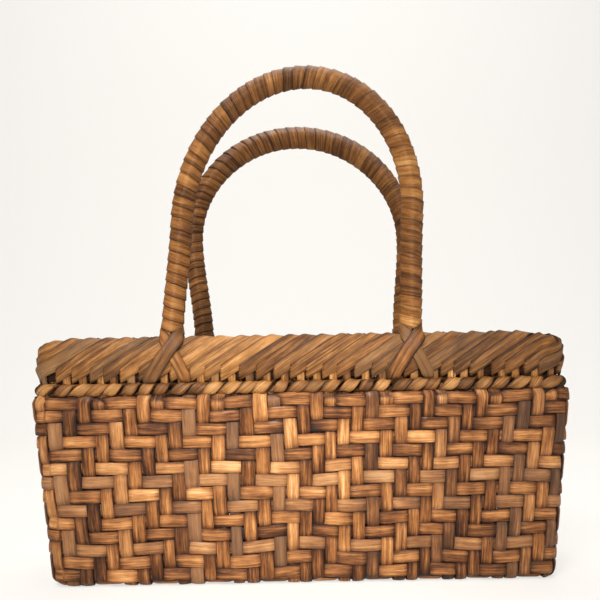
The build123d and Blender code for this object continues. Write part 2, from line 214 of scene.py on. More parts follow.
# Tone of each kind of strip from dark at 0 to light at 1, with its spread, how tone and greyness vary
# from strip to strip, and the painted shade that darkens the tone towards the base and the right end
stake_tone = (0.55, 0.13)
weaver_tone = (0.62, 0.1)
twining_tone = (0.62, 0.05)
rim_tone = (0.52, 0.11)
tail_tone = (0.6, 0.12)
lashing_tone = (0.5, 0.1)
darkest_step = 0.17
lightest_tone = 0.95
greyness_spread = 0.35
greyness_start = 0.15
most_grey = 1.2
# Painted shade over the bag: the tone darker towards the base and towards the right end
base_darkening = 0.12
base_darkening_height = 50 * mm
right_darkening = 0.07
right_darkening_reach = 165 * mm

# Lamps: each one's place, target, size, power and colour, and the angle of its cone if it has one
lamps = {
    "key": ((-0.3, -1.0, 1.05), (0, 0, 0.1), 0.45, 15.5, (1.0, 0.94, 0.86)),
    "fill": ((0.9, -0.9, 0.4), (0, 0, 0.12), 0.9, 3, (1.0, 0.95, 0.9)),
    "top": ((0.1, 0.35, 1.3), (0, 0, 0.15), 0.9, 6, (1.0, 0.97, 0.94)),
    "wall": ((0.0, 0.55, 1.7), (0, 1.7, 0.6), 1.2, 15, (1.0, 0.99, 0.97)),
    "pool": ((-0.12, -1.15, 0.72), (-0.01, -0.05, 0.088), 0.09, 82, (1.0, 0.93, 0.84), 20),
}
floor_glow = 0.66
surroundings_seen = 0.78
surroundings_light = 0.22

# Camera
camera_place = (0.7 * mm, -525 * mm, 131 * mm)
camera_lens = 45.6
camera_tilt = 0.0925
camera_roll = -0.0185

edge_arc = base_edge_radius * math.pi / 2
weave_run = edge_arc + weave_top - base_edge_radius
row_pitch = weave_run / row_count
rows_above = (stake_end_height - weave_top) / row_pitch
stake_count = 2 * (long_stakes + short_stakes) + 4 * corner_stakes


def smooth(share):
    """Eased step from 0 to 1."""
    share = np.clip(share, 0, 1)
    return share * share * (3 - 2 * share)


def unit(vectors):
    """Vectors of length one."""
    return vectors / np.maximum(np.linalg.norm(vectors, axis=-1, keepdims=True), 1e-12)


def stack(x, y, z):
    """Points from three arrays or numbers."""
    return np.stack(np.broadcast_arrays(x, y, z), axis=-1)


def way_along(points):
    """Length of the way up to each point."""
    return np.concatenate([[0], np.cumsum(np.linalg.norm(np.diff(points, axis=0), axis=1))])


def side_starts():
    """Each side as its first stake, its number of stakes and the way it faces."""
    sides = []
    first = 0
    for turn in range(4):
        count = long_stakes if turn % 2 == 0 else short_stakes
        sides.append((first, count, math.radians(90 * turn - 90)))
        first += count + corner_stakes
    return sides


def plan(place, half_length, half_width, radius):
    """Point of a rounded rectangle at a place counted in stakes round the bag."""
    radius = np.maximum(radius, sharpest_corner)
    flat_x = half_length - radius
    flat_y = half_width - radius
    place = np.mod(place, stake_count)
    place, flat_x, flat_y, radius = np.broadcast_arrays(place, flat_x, flat_y, radius)
    corners = [(-flat_x, -flat_y), (flat_x, -flat_y), (flat_x, flat_y), (-flat_x, flat_y)]
    x = np.zeros(place.shape)
    y = np.zeros(place.shape)
    for turn, (first, count, facing) in enumerate(side_starts()):
        start = corners[turn]
        end = corners[(turn + 1) % 4]
        along = place - first
        share = along / count
        crowding = {0: front_crowding, 2: -front_crowding}.get(turn, 0)
        share = share + crowding * share * (1 - share)
        on_side = (along >= 0) & (along <= count)
        x = np.where(on_side, start[0] + (end[0] - start[0]) * share + radius * math.cos(facing), x)
        y = np.where(on_side, start[1] + (end[1] - start[1]) * share + radius * math.sin(facing), y)
        on_corner = (along > count) & (along <= count + corner_stakes)
        angle = facing + math.pi / 2 * (along - count) / corner_stakes
        x = np.where(on_corner, end[0] + radius * np.cos(angle), x)
        y = np.where(on_corner, end[1] + radius * np.sin(angle), y)
    return x, y


def wall(place, run, out=0.0):
    """Point of the wall at a place round the bag and a run up from the flat base, raised by out."""
    angle = np.clip(run / base_edge_radius, 0, math.pi / 2)
    inset = base_edge_radius * (1 - np.sin(angle))
    height = base_edge_radius * (1 - np.cos(angle)) + np.maximum(run - edge_arc, 0)
    flare = np.clip(height, base_edge_radius, shoulder_height) / shoulder_height
    neck = smooth((height - shoulder_height) / (neck_height - shoulder_height))
    half_length = base_length + (shoulder_length - base_length) * flare
    half_width = base_width + (shoulder_width - base_width) * flare
    half_length = (half_length + (neck_length - shoulder_length) * neck) / 2
    half_width = (half_width + (neck_width - shoulder_width) * neck) / 2
    shift = out * np.sin(angle) - inset
    x, y = plan(place, half_length + shift, half_width + shift, corner_radius + shift)
    return stack(x, y, height - out * np.cos(angle) + base_lift * (1 - np.sin(angle)))


def wall_normal(place, run):
    """Direction out of the wall."""
    return unit(wall(place, run, 0.5 * mm) - wall(place, run, -0.5 * mm))


def level_out(place, run):
    """Level direction out of the wall."""
    return unit(wall_normal(place, run) * (1, 1, 0))


class Wander:
    """Smooth unevenness over the wall, the same all the way round a closed ring."""

    def __init__(self, waves=7):
        self.round = chance.integers(1, 14, waves)
        self.up = chance.uniform(-0.25, 0.25, waves) * math.pi
        self.phase = chance.uniform(0, 2 * math.pi, waves)

    def at(self, place, run):
        """Unevenness at a place round the bag and a run up the wall."""
        place, run = np.broadcast_arrays(place, run)
        total = np.zeros(place.shape)
        for turns, up, phase in zip(self.round, self.up, self.phase):
            total += np.sin(2 * math.pi * turns * place / stake_count + up * run / row_pitch + phase)
        return total / math.sqrt(len(self.round))


wander_place = Wander()
wander_run = Wander()


def weaver_on_top(stake, row):
    """True where the horizontal strip lies outside: over two stakes, under two, one further on each row."""
    return np.mod(stake - row, 4) >= 2


def stake_states(stake):
    """For each row from the bottom, 1 where the stake lies outside and -1 where it lies inside."""
    return [-1 if weaver_on_top(stake, row) else 1 for row in range(row_count)]


def wave(crossing, states):
    """Swing of a strip from 1 to -1 between its crossings, at a place counted in crossings."""
    states = np.asarray(states, float)
    at = crossing - 0.5
    low = np.clip(np.floor(at).astype(int), 0, len(states) - 1)
    high = np.clip(low + 1, 0, len(states) - 1)
    share = smooth((at - np.floor(at) - 0.5) * dive_steepness + 0.5)
    return states[low] + (states[high] - states[low]) * share


crossing_samples = np.array([0.0, 0.25, 0.5, 0.68, 0.84])


def crossing_line(start, end):
    """Places along a strip, closer together where it dives between two crossings."""
    cells = np.arange(math.floor(start), math.ceil(end))
    places = (cells[:, None] + crossing_samples[None, :]).ravel()
    return np.append(places[(places >= start) & (places < end)], end)


# Rounded flat section of a strip: across from -1 to 1, thickness, and share of the crown
section = np.array([
    (-1.0, 0.0, 0.0), (-0.96, 0.36, 0.2), (-0.86, 0.5, 0.4), (-0.4, 0.5, 0.85), (0.1, 0.5, 1.0),
    (0.5, 0.5, 0.8), (0.86, 0.5, 0.4), (0.96, 0.36, 0.2), (1.0, 0.0, 0.0),
    (0.9, -0.45, 0.0), (0.0, -0.5, 0.0), (-0.9, -0.45, 0.0)])


def tube_faces(index, closed):
    """Quads between neighbouring sections, from the numbers of their points."""
    low = index if closed else index[:-1]
    high = np.roll(index, -1, axis=0) if closed else index[1:]
    quads = np.stack([low, high, np.roll(high, -1, axis=1), np.roll(low, -1, axis=1)], axis=-1)
    return quads.reshape(-1, 4)


def put_in_place(name, mesh, material, slot, *nodes):
    """The mesh as a piece that rides on the bag in place of its solids."""
    mesh.materials.append(material)
    mesh.update()
    piece = bpy.data.objects.new(name, mesh)
    bpy.context.scene.collection.objects.link(piece)
    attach(piece, "root")
    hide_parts(*nodes)


class Strips:
    """Collects ribbons and makes one mesh of them, with grain, tone and painted shade stored on its points.
    """

    def __init__(self):
        self.points = []
        self.faces = []
        self.grain = []
        self.tone = []
        self.count = 0
        self.strips = 0

    def add(self, middle, across, normal, half_width, thickness, crown=strip_crown, tilt=0.0,
            tone=0.5, hue=0.5, shade=0.0, closed=False):
        """One ribbon along the points; half_width, tilt, tone and shade may vary along it."""
        count = len(middle)
        sides = len(section)
        u = section[:, 0]
        half_width = np.broadcast_to(half_width, count)
        tilt = np.broadcast_to(tilt, count)
        raise_by = section[:, 1] * thickness + section[:, 2] * crown
        raise_by = raise_by[None, :] - u[None, :] * tilt[:, None]
        points = middle[:, None, :] + across[:, None, :] * (half_width[:, None] * u[None, :])[:, :, None]
        points = points + normal[:, None, :] * raise_by[:, :, None]
        grain = np.zeros((count, sides, 3))
        grain[:, :, 0] = way_along(middle)[:, None]
        grain[:, :, 1] = half_width[:, None] * u[None, :]
        grain[:, :, 2] = self.strips * 37.0 * mm + chance.uniform(0, 1) * mm
        # Painted shade at the edges of each strip, where neighbouring strips meet
        edge = edge_painted_shade * np.abs(u) ** edge_sharpness
        tones = np.zeros((count, sides, 4))
        tones[:, :, 0] = np.broadcast_to(tone, count)[:, None]
        tones[:, :, 1] = hue
        # Third channel: painted shade, from the caller and at the edges
        tones[:, :, 2] = np.clip(np.broadcast_to(shade, count)[:, None] + edge[None, :], 0, 1)
        tones[:, :, 3] = 1
        index = np.arange(count * sides).reshape(count, sides) + self.count
        self.faces += tube_faces(index, closed).tolist()
        if not closed:
            self.faces += [index[0].tolist(), index[-1][::-1].tolist()]
        self.points.append(points.reshape(-1, 3))
        self.grain.append(grain.reshape(-1, 3))
        self.tone.append(tones.reshape(-1, 4))
        self.count += count * sides
        self.strips += 1

    def make(self, name, material, slot, *nodes):
        """One piece of all the ribbons, in place of its solids."""
        mesh = bpy.data.meshes.new(name)
        mesh.from_pydata(np.concatenate(self.points).tolist(), [], self.faces)
        grain = mesh.attributes.new("grain", "FLOAT_VECTOR", "POINT")
        grain.data.foreach_set("vector", np.concatenate(self.grain).ravel())
        tone = mesh.attributes.new("tone", "FLOAT_COLOR", "POINT")
        tone.data.foreach_set("color", np.concatenate(self.tone).ravel())
        mesh.polygons.foreach_set("use_smooth", np.ones(len(mesh.polygons), bool))
        put_in_place(name, mesh, material, slot, *nodes)


def flow(middle, normal, closed=False):
    """Direction across a ribbon that follows the points with these normals."""
    if closed:
        along = np.roll(middle, -1, axis=0) - np.roll(middle, 1, axis=0)
    else:
        along = np.gradient(middle, axis=0)
    return unit(np.cross(normal, unit(along)))


# Materials

def new_material(name):
    """Material with its nodes, links and shader."""
    material = bpy.data.materials.new(name)
    material.use_nodes = True
    nodes = material.node_tree.nodes
    return material, nodes, material.node_tree.links, nodes["Principled BSDF"]


def ramp(nodes, stops):
    """Colour ramp node with the stops given as place and colour."""
    node = nodes.new("ShaderNodeValToRGB")
    elements = node.color_ramp.elements
    while len(elements) < len(stops):
        elements.new(0.5)
    for element, (place, colour) in zip(elements, stops):
        element.position = place
        element.color = (*colour, 1)
    return node


def bark_material(name, stops, grey, roughness, gloss):
    """Bark strip: fibres along the strip, uneven tone, painted shade in the hollows and at the edges, thin
    lacquer.
    """
    material, nodes, links, shader = new_material(name)
    grain = nodes.new("ShaderNodeAttribute")
    grain.attribute_name = "grain"
    tone = nodes.new("ShaderNodeAttribute")
    tone.attribute_name = "tone"
    parts = nodes.new("ShaderNodeSeparateColor")
    links.new(tone.outputs["Color"], parts.inputs[0])

    def noise(scale, detail, fineness=0.6):
        mapping = nodes.new("ShaderNodeMapping")
        mapping.inputs["Scale"].default_value = scale
        links.new(grain.outputs["Vector"], mapping.inputs["Vector"])
        texture = nodes.new("ShaderNodeTexNoise")
        texture.inputs["Scale"].default_value = 1
        texture.inputs["Detail"].default_value = detail
        texture.inputs["Roughness"].default_value = fineness
        links.new(mapping.outputs["Vector"], texture.inputs["Vector"])
        return texture.outputs["Fac"]

    def math_node(operation, *values, clamp=False):
        node = nodes.new("ShaderNodeMath")
        node.operation = operation
        node.use_clamp = clamp
        for socket, value in zip(node.inputs, values):
            if isinstance(value, (int, float)):
                socket.default_value = value
            else:
                links.new(value, socket)
        return node.outputs[0]

    fibre = noise(fibre_scale, 4, 0.7)
    fine = noise(fine_scale, 2)
    streak = noise(streak_scale, 2)
    patch = noise(patch_scale, 3)
    level = parts.outputs[0]
    for pattern, contrast in ((fibre, fibre_contrast), (streak, streak_contrast), (patch, patch_contrast)):
        level = math_node("ADD", level, math_node("MULTIPLY_ADD", pattern, *contrast))
    # Painted shade stored on the strips darkens the tone
    painted_shade = math_node("MULTIPLY", parts.outputs[2], painted_shade_strength)
    level = math_node("SUBTRACT", level, painted_shade, clamp=True)
    colours = ramp(nodes, stops)
    links.new(level, colours.inputs[0])

    mix = nodes.new("ShaderNodeMix")
    mix.data_type = "RGBA"
    mix.inputs["B"].default_value = (*grey, 1)
    greyness = math_node("MULTIPLY", parts.outputs[1], streak, clamp=True)
    links.new(greyness, mix.inputs["Factor"])
    links.new(colours.outputs["Color"], mix.inputs["A"])
    links.new(mix.outputs["Result"], shader.inputs["Base Color"])

    rough = math_node("MULTIPLY_ADD", fibre, roughness_spread, roughness - roughness_spread / 2)
    links.new(rough, shader.inputs["Roughness"])
    shine = math_node("MULTIPLY_ADD", patch, *(gloss * part for part in gloss_contrast), clamp=True)
    links.new(shine, shader.inputs["Coat Weight"])
    shader.inputs["Coat Roughness"].default_value = coat_roughness
    shader.inputs["Specular IOR Level"].default_value = specular_level

    heights = math_node("MULTIPLY_ADD", fine, fine_share, fibre)
    bump = nodes.new("ShaderNodeBump")
    bump.inputs["Strength"].default_value = relief_strength
    bump.inputs["Distance"].default_value = relief_depth
    links.new(heights, bump.inputs["Height"])
    links.new(bump.outputs["Normal"], shader.inputs["Normal"])
    return material


weave_bark = bark_material(
    "weave_bark",
    [(0.0, (0.012, 0.004, 0.0015)), (0.28, (0.085, 0.028, 0.008)), (0.52, (0.238, 0.094, 0.028)),
     (0.78, (0.45, 0.212, 0.072)), (1.0, (0.68, 0.4, 0.18))],
    (0.16, 0.09, 0.052), 0.5, 0.12)
rim_bark = bark_material(
    "rim_bark",
    [(0.0, (0.012, 0.004, 0.0015)), (0.3, (0.09, 0.034, 0.009)), (0.55, (0.21, 0.09, 0.024)),
     (0.8, (0.38, 0.185, 0.058)), (1.0, (0.58, 0.34, 0.14))],
    (0.16, 0.097, 0.05), 0.5, 0.08)
handle_bark = bark_material(
    "handle_bark",
    [(0.0, (0.01, 0.003, 0.001)), (0.3, (0.07, 0.024, 0.006)), (0.55, (0.2, 0.077, 0.018)),
     (0.8, (0.38, 0.17, 0.046)), (1.0, (0.58, 0.31, 0.11))],
    (0.15, 0.077, 0.032), 0.45, 0.08)


def plain_wood(name, colour):
    """Peeled vine under the strips, hardly seen."""
    material, nodes, links, shader = new_material(name)
    texture = nodes.new("ShaderNodeTexNoise")
    texture.inputs["Scale"].default_value = 260
    texture.inputs["Detail"].default_value = 3
    colours = ramp(nodes, [(0.3, tuple(0.55 * part for part in colour)), (0.75, colour)])
    links.new(texture.outputs["Fac"], colours.inputs[0])
    links.new(colours.outputs["Color"], shader.inputs["Base Color"])
    shader.inputs["Roughness"].default_value = 0.65
    shader.inputs["Specular IOR Level"].default_value = 0.05
    return material


# Near black: painted shade where the hoops show between the rim strips
core_wood = plain_wood("core_wood", (0.025, 0.01, 0.005))


# Weave

def strip_tone(middle, spread):
    """Random tone and greyness of one strip."""
    tone = float(np.clip(chance.normal(middle, spread), middle - darkest_step, lightest_tone))
    greyness = float(np.clip(chance.exponential(greyness_spread) - greyness_start, 0, most_grey))
    return tone, greyness


def slow_drift(crossing, spread):
    """Slow random drift along a strip, in steps of about one float."""
    knots = np.arange(math.floor(crossing.min()) - 2, math.ceil(crossing.max()) + 3, 2.0)
    return np.interp(crossing, knots, chance.normal(0, spread, len(knots)))


def painted_shade_over_bag(points):
    """Painted shade over the bag: the tone darker towards the base and the right end."""
    low = 1 - smooth(points[:, 2] / base_darkening_height)
    right = smooth(points[:, 0] / right_darkening_reach)
    return -base_darkening * low - right_darkening * right


def local_place(place, run):
    """Place with the stakes' unevenness."""
    return place + wander_across * wander_place.at(place, run)


def local_run(place, run):
    """Run with the rows' unevenness, which dies out at the base."""
    return run + wander_up * wander_run.at(place, run) * smooth(run / (2 * row_pitch))


def stake_spacing(place, run):
    """Real width of one stake's share of the wall."""
    step = 0.25
    gap = np.linalg.norm(wall(place + step, run) - wall(place - step, run), axis=-1)
    return gap / (2 * step)


def wall_leg(stake, crossing):
    """Place and run of a stake on one wall; crossing counts the rows up from the base edge."""
    run = np.maximum(crossing, 0) * row_pitch
    place = local_place(stake + 0.5, run)
    return place, local_run(stake + 0.5, run)


def crossing_strip(strips, front, back, base_states, base_path, width_share):
    """A stake that goes down one wall, under the base and up the opposite wall."""
    middle_count = len(base_states)
    states = stake_states(front)[::-1] + base_states + stake_states(back)
    crossing = crossing_line(-rows_above, 2 * row_count + middle_count + rows_above)
    swing = strip_swing * wave(crossing, states)
    in_neck = np.maximum(-crossing, crossing - (2 * row_count + middle_count))
    swing = swing * (1 - smooth(in_neck * neck_calming))
    points = np.zeros((len(crossing), 3))
    normals = np.zeros((len(crossing), 3))
    room = np.zeros(len(crossing))
    for stake, up in ((front, row_count - crossing), (back, crossing - row_count - middle_count)):
        on_wall = up >= 0
        place, run = wall_leg(stake, up[on_wall])
        normals[on_wall] = wall_normal(place, run)
        points[on_wall] = wall(place, run) + normals[on_wall] * swing[on_wall, None]
        room[on_wall] = stake_spacing(place, run)
    on_base = (crossing > row_count) & (crossing < row_count + middle_count)
    share = (crossing[on_base] - row_count) / middle_count
    path, gap = base_path(share)
    normals[on_base] = (0, 0, -1)
    points[on_base] = path + normals[on_base] * swing[on_base, None]
    room[on_base] = gap
    tone, greyness = strip_tone(*stake_tone)
    width = room * width_share * (1 + slow_drift(crossing, width_drift))
    # Painted shade where the stake dives under a weaver
    shade = dip_shade * (1 - wave(crossing, states)) / 2
    strips.add(points, flow(points, normals), normals, width / 2, strip_thickness,
               tilt=slow_drift(crossing, float_tilt),
               tone=tone + slow_drift(crossing, stake_tone_drift) + painted_shade_over_bag(points),
               hue=greyness, shade=shade)


base_half_length = base_length / 2 - base_edge_radius
base_half_width = base_width / 2 - base_edge_radius
flat_half_length = base_length / 2 - corner_radius
flat_half_width = base_width / 2 - corner_radius


def spread_from_edge(share):
    """Share by which the strips have spread out on the base, away from its edges."""
    return smooth(np.minimum(share, 1 - share) * 5)


def cross_stakes():
    """Stakes of the front that run under the base and up the back."""
    strips = Strips()
    first_back = long_stakes + short_stakes + 2 * corner_stakes
    for stake in range(long_stakes):
        back = first_back + long_stakes - 1 - stake
        start = wall(local_place(stake + 0.5, 0.0), 0.0)
        end = wall(local_place(back + 0.5, 0.0), 0.0)
        states = [-1 if weaver_on_top(stake, -1 - k) else 1 for k in range(short_stakes)]

        def base_path(share):
            spread = 1 + (base_half_length / flat_half_length - 1) * spread_from_edge(share)
            x = (start[0] + (end[0] - start[0]) * share) * spread
            y = -base_half_width + 2 * base_half_width * share
            return stack(x, y, base_lift), base_share * 2 * base_half_length / long_stakes

        width_share = strip_share * float(chance.uniform(*cross_stake_widths))
        crossing_strip(strips, stake, back, states, base_path, width_share)
    strips.make("cross_stakes", weave_bark, "weave_strip", "woven_body")


def lengthwise_stakes():
    """Stakes of the right side that run under the base and up the left side."""
    strips = Strips()
    first_right = long_stakes + corner_stakes
    first_left = 2 * long_stakes + short_stakes + 3 * corner_stakes
    for k in range(short_stakes):
        right = first_right + k
        left = first_left + short_stakes - 1 - k
        start = wall(local_place(right + 0.5, 0.0), 0.0)
        end = wall(local_place(left + 0.5, 0.0), 0.0)
        states = [1 if weaver_on_top(stake, -1 - k) else -1 for stake in range(long_stakes)][::-1]

        def base_path(share):
            spread = 1 + (base_half_width / flat_half_width - 1) * spread_from_edge(share)
            x = base_half_length - 2 * base_half_length * share
            y = (start[1] + (end[1] - start[1]) * share) * spread
            return stack(x, y, base_lift), base_share * 2 * base_half_width / short_stakes

        width_share = strip_share * float(chance.uniform(*lengthwise_stake_widths))
        crossing_strip(strips, right, left, states, base_path, width_share)
    strips.make("lengthwise_stakes", weave_bark, "weave_strip", "woven_body")


def corner_strips():
    """Extra stakes that start at the four corners of the base."""
    strips = Strips()
    for first, count, facing in side_starts():
        for step in range(corner_stakes):
            stake = first + count + step
            states = stake_states(stake)
            crossing = crossing_line(0.0, row_count + rows_above)
            place, run = wall_leg(stake, crossing)
            normals = wall_normal(place, run)
            calm = smooth((crossing - row_count) * neck_calming)
            swing = strip_swing * wave(crossing, states) * (1 - calm)
            points = wall(place, run) + normals * swing[:, None]
            width = stake_spacing(place, run) * strip_share
            tone, greyness = strip_tone(*stake_tone)
            # Painted shade where the corner stake dives under a weaver
            strips.add(points, flow(points, normals), normals, width / 2, strip_thickness,
                       tone=tone + slow_drift(crossing, corner_tone_drift) + painted_shade_over_bag(points),
                       hue=greyness, shade=corner_dip_shade * (1 - wave(crossing, states)) / 2)
    strips.make("corner_stakes", weave_bark, "weave_strip", "woven_body")


def weavers():
    """Horizontal strips, one closed ring for each row."""
    strips = Strips()
    for row in range(row_count):
        states = np.array([1 if weaver_on_top(stake, row) else -1 for stake in range(stake_count)], float)
        padded = np.concatenate([states[-1:], states, states[:1]])
        place = crossing_line(0.0, float(stake_count))[:-1]
        swing_share = wave(place + 1, padded)
        run = local_run(place, (row + 0.5) * row_pitch)
        at = local_place(place, run)
        normals = wall_normal(at, run)
        points = wall(at, run) + normals * (strip_swing * swing_share)[:, None]
        tone, greyness = strip_tone(*weaver_tone)
        half = row_pitch * strip_share * float(chance.uniform(*weaver_widths)) / 2
        if row == 0:
            half = half * edge_row_share
            points[:, 2] += edge_row_lift
        ends = smooth(np.minimum(place, stake_count - place))
        # Painted shade where the weaver dives under a stake
        strips.add(points, flow(points, normals, closed=True), normals,
                   half * (1 + ends * slow_drift(place, width_drift)), strip_thickness,
                   tilt=ends * slow_drift(place, float_tilt),
                   tone=tone + ends * slow_drift(place, weaver_tone_drift) + painted_shade_over_bag(points),
                   hue=greyness, shade=dip_shade * (1 - swing_share) / 2, closed=True)
    strips.make("weavers", weave_bark, "weave_strip", "woven_body")


cross_stakes()
lengthwise_stakes()
corner_strips()
weavers()


# Twined row and rim

up = np.array([0.0, 0.0, 1.0])


def height_run(height):
    """Run along the wall that reaches a height above the base edge."""
    return height - base_edge_radius + edge_arc


neck_run = height_run(neck_height)
neck_ring = wall(np.linspace(0, stake_count, 400), neck_run)
rim_pitch = way_along(neck_ring)[-1] / rim_strip_count
rim_middle_y = neck_width / 2 + rim_middle_out


def even_places(height, count):
    """Places that divide the way round the bag evenly, as a function of a number from 0 to count."""
    places = np.linspace(0, stake_count, 2001)
    length = way_along(wall(places, height_run(height)))

    def at(number):
        turns = np.floor(np.asarray(number) / count)
        rest = np.asarray(number) - turns * count
        return np.interp(rest / count * length[-1], length, places) + turns * stake_count

    return at


def twined_row():
    """Two strips twisted round the stakes under the rim, with the part that shows inside."""
    strips = Strips()
    run = height_run(twining_height)
    place_at = even_places(twining_height, rim_strip_count)
    number = np.arange(rim_strip_count * twining_samples) / twining_samples
    for facing, radius, middle_out in ((1, twining_radius, twining_out),
                                       (-1, inner_twining_radius, inner_twining_out)):
        for strand in range(2):
            angle = math.pi * (number + strand) - math.pi / 2
            jitter = np.interp(number % rim_strip_count, np.arange(rim_strip_count + 1),
                               np.append(chance.normal(0, twining_unevenness, rim_strip_count), 0))
            place = place_at(number + jitter)
            outward = facing * wall_normal(place, run)
            middle = wall(place, run, middle_out)
            squash = np.cos(angle)
            points = middle + outward * (radius * squash)[:, None]
            points = points + up * (twining_climb * np.sin(angle))[:, None]
            normals = unit(outward * (squash * twining_roundness)[:, None] + up * np.sin(angle)[:, None])
            tone, greyness = strip_tone(*twining_tone)
            drift = chance.normal(0, twining_tone_drift, rim_strip_count)
            drift = np.repeat(drift, twining_samples)
            half = twining_width / 2 * (twining_end_share + twining_middle_growth * np.maximum(squash, 0))
            # Painted shade on the part of the strand that turns behind the other
            strips.add(points, flow(points, normals, closed=True), normals, half, twining_thickness,
                       crown=twining_crown, tone=tone + drift, hue=greyness,
                       shade=twining_dip_shade * (1 - squash) / 2, closed=True)
    strips.make("twined_row", rim_bark, "rim_strip", "outer_twining", "inner_twining")


def rim_section(angle):
    """Point of the rim's section at an angle: out from the wall's face and height."""
    cos = np.cos(angle)
    sin = np.sin(angle)
    power = 2 / np.where(sin < 0, rim_foot_roundness, rim_roundness)
    out = rim_middle_out + rim_half_width * np.sign(cos) * np.abs(cos) ** power
    height = rim_middle_height + rim_half_height * np.sign(sin) * np.abs(sin) ** power
    return out, height


def round_ends(points, outward):
    """The rim's points drawn down and in over the ends of the bag."""
    share = smooth((np.abs(points[:, 0]) - rim_end_start) / rim_end_reach)
    above = np.clip((points[:, 2] - rim_middle_height) / rim_half_height, 0, 1)
    points = points - outward * (share * rim_end_pull * above ** 2)[:, None]
    points[:, 2] -= share * rim_end_drop * above
    return points


# Section of a hoop: out from the middle of the wall and height in mm
hoop_section = [(1.1, 126.8), (4.5, 126.8), (4.9, 128.0), (5.3, 142.0), (4.9, 145.5), (2.6, 150.2),
                (1.1, 150.6)]


def rim_hoop(name, node, side):
    """One of the hoops under the strips: side 1 is the outer, -1 the inner."""
    places = np.arange(0, stake_count, 0.5)
    face = wall(places, neck_run)
    outward = level_out(places, neck_run)
    rings = []
    for out, height in hoop_section:
        ring = face + outward * (rim_middle_out + side * out * mm)
        ring[:, 2] = height * mm
        rings.append(round_ends(ring, outward))
    points = np.stack(rings, axis=1)
    quads = tube_faces(np.arange(points.size // 3).reshape(points.shape[:2]), True)
    if side > 0:
        quads = quads[:, ::-1]
    mesh = bpy.data.meshes.new(name)
    mesh.from_pydata(points.reshape(-1, 3).tolist(), [], quads.tolist())
    put_in_place(name, mesh, core_wood, "core_wood", node)


# Stretches of the rim's section that a strip passes: first and last angle, and the step between points
rim_stretches = [(-34, 62, 4), (62, 112, 5), (112, 262, 8)]

# Where a strip folds out of the wall beside its upright edge: along and out, and which way it faces
rim_fold = np.array([(-0.1, -4.4), (-0.75, -2.6), (-0.85, -1.2), (-0.4, -0.35)]) * mm
rim_fold_facing = np.array([(-1.0, 0.0), (-0.97, 0.25), (-0.75, 0.66), (-0.3, 0.95)])
rim_fold_tilt = [0.0, 0.2, 0.6, 0.9]
# Painted shade on the fold, darkest where the strip comes out of the wall
rim_fold_shade = [1.0, 0.9, 0.5, 0.15]

# The tail of each strip below the rim: out from the wall's face and height, and the painted shade on it,
# darkest just under the rim
rim_tail = np.array([(4.5, 133.0), (4.5, 129.6), (4.35, 127.2), (3.6, 124.9), (2.7, 122.8)]) * mm
rim_tail_shade = [0.6, 0.2, 0.0, 0.0, 0.2]


def add_tail(strips, place):
    """The short tail that comes out under the rim beside a strip."""
    outward = level_out(place, neck_run)
    points = wall(place, neck_run) + outward * rim_tail[:, :1]
    points[:, 2] = rim_tail[:, 1]
    normals = np.tile(outward, (len(rim_tail), 1))
    tone, greyness = strip_tone(*tail_tone)
    strips.add(points, flow(points, normals), normals, tail_half_width, tail_thickness,
               crown=tail_crown, tone=tone, hue=greyness, shade=rim_tail_shade)


def fold_out(point, outward):
    """Points and normals of the fold that brings a strip out of the wall to its first point."""
    tangent = np.cross(up, outward)
    points = point + rim_fold[:, :1] * tangent + rim_fold[:, 1:] * outward
    return points, unit(rim_fold_facing[:, :1] * tangent + rim_fold_facing[:, 1:] * outward)


def rim_course():
    """Angles that a rim strip passes, its length up to each, how far it has then run along the rim, and
    whether it is still outside. Inside it runs back until one pitch is left."""
    stretches = [np.arange(first, last, step) for first, last, step in rim_stretches]
    angle = np.radians(np.concatenate([*stretches, [rim_stretches[-1][1]]]))
    out, height = rim_section(angle)
    step = np.hypot(np.diff(out), np.diff(height))
    length = np.concatenate([[0], np.cumsum(step)])
    near_top = smooth((np.degrees(angle) - rim_top_slope_start) / rim_top_slope_reach)
    slope = rim_slope + (rim_top_slope - rim_slope) * near_top
    lean = 1 / np.tan(np.radians(slope))
    outer = np.degrees(angle) < rim_outside_end
    drift = np.concatenate([[0], np.cumsum(step * lean[1:] * outer[1:])])
    back = smooth((length - length[~outer][0]) / (length[-1] - length[~outer][0]))
    drift = drift + (rim_pitch - drift[-1]) * np.where(outer, 0, back)
    return angle, length, drift, outer


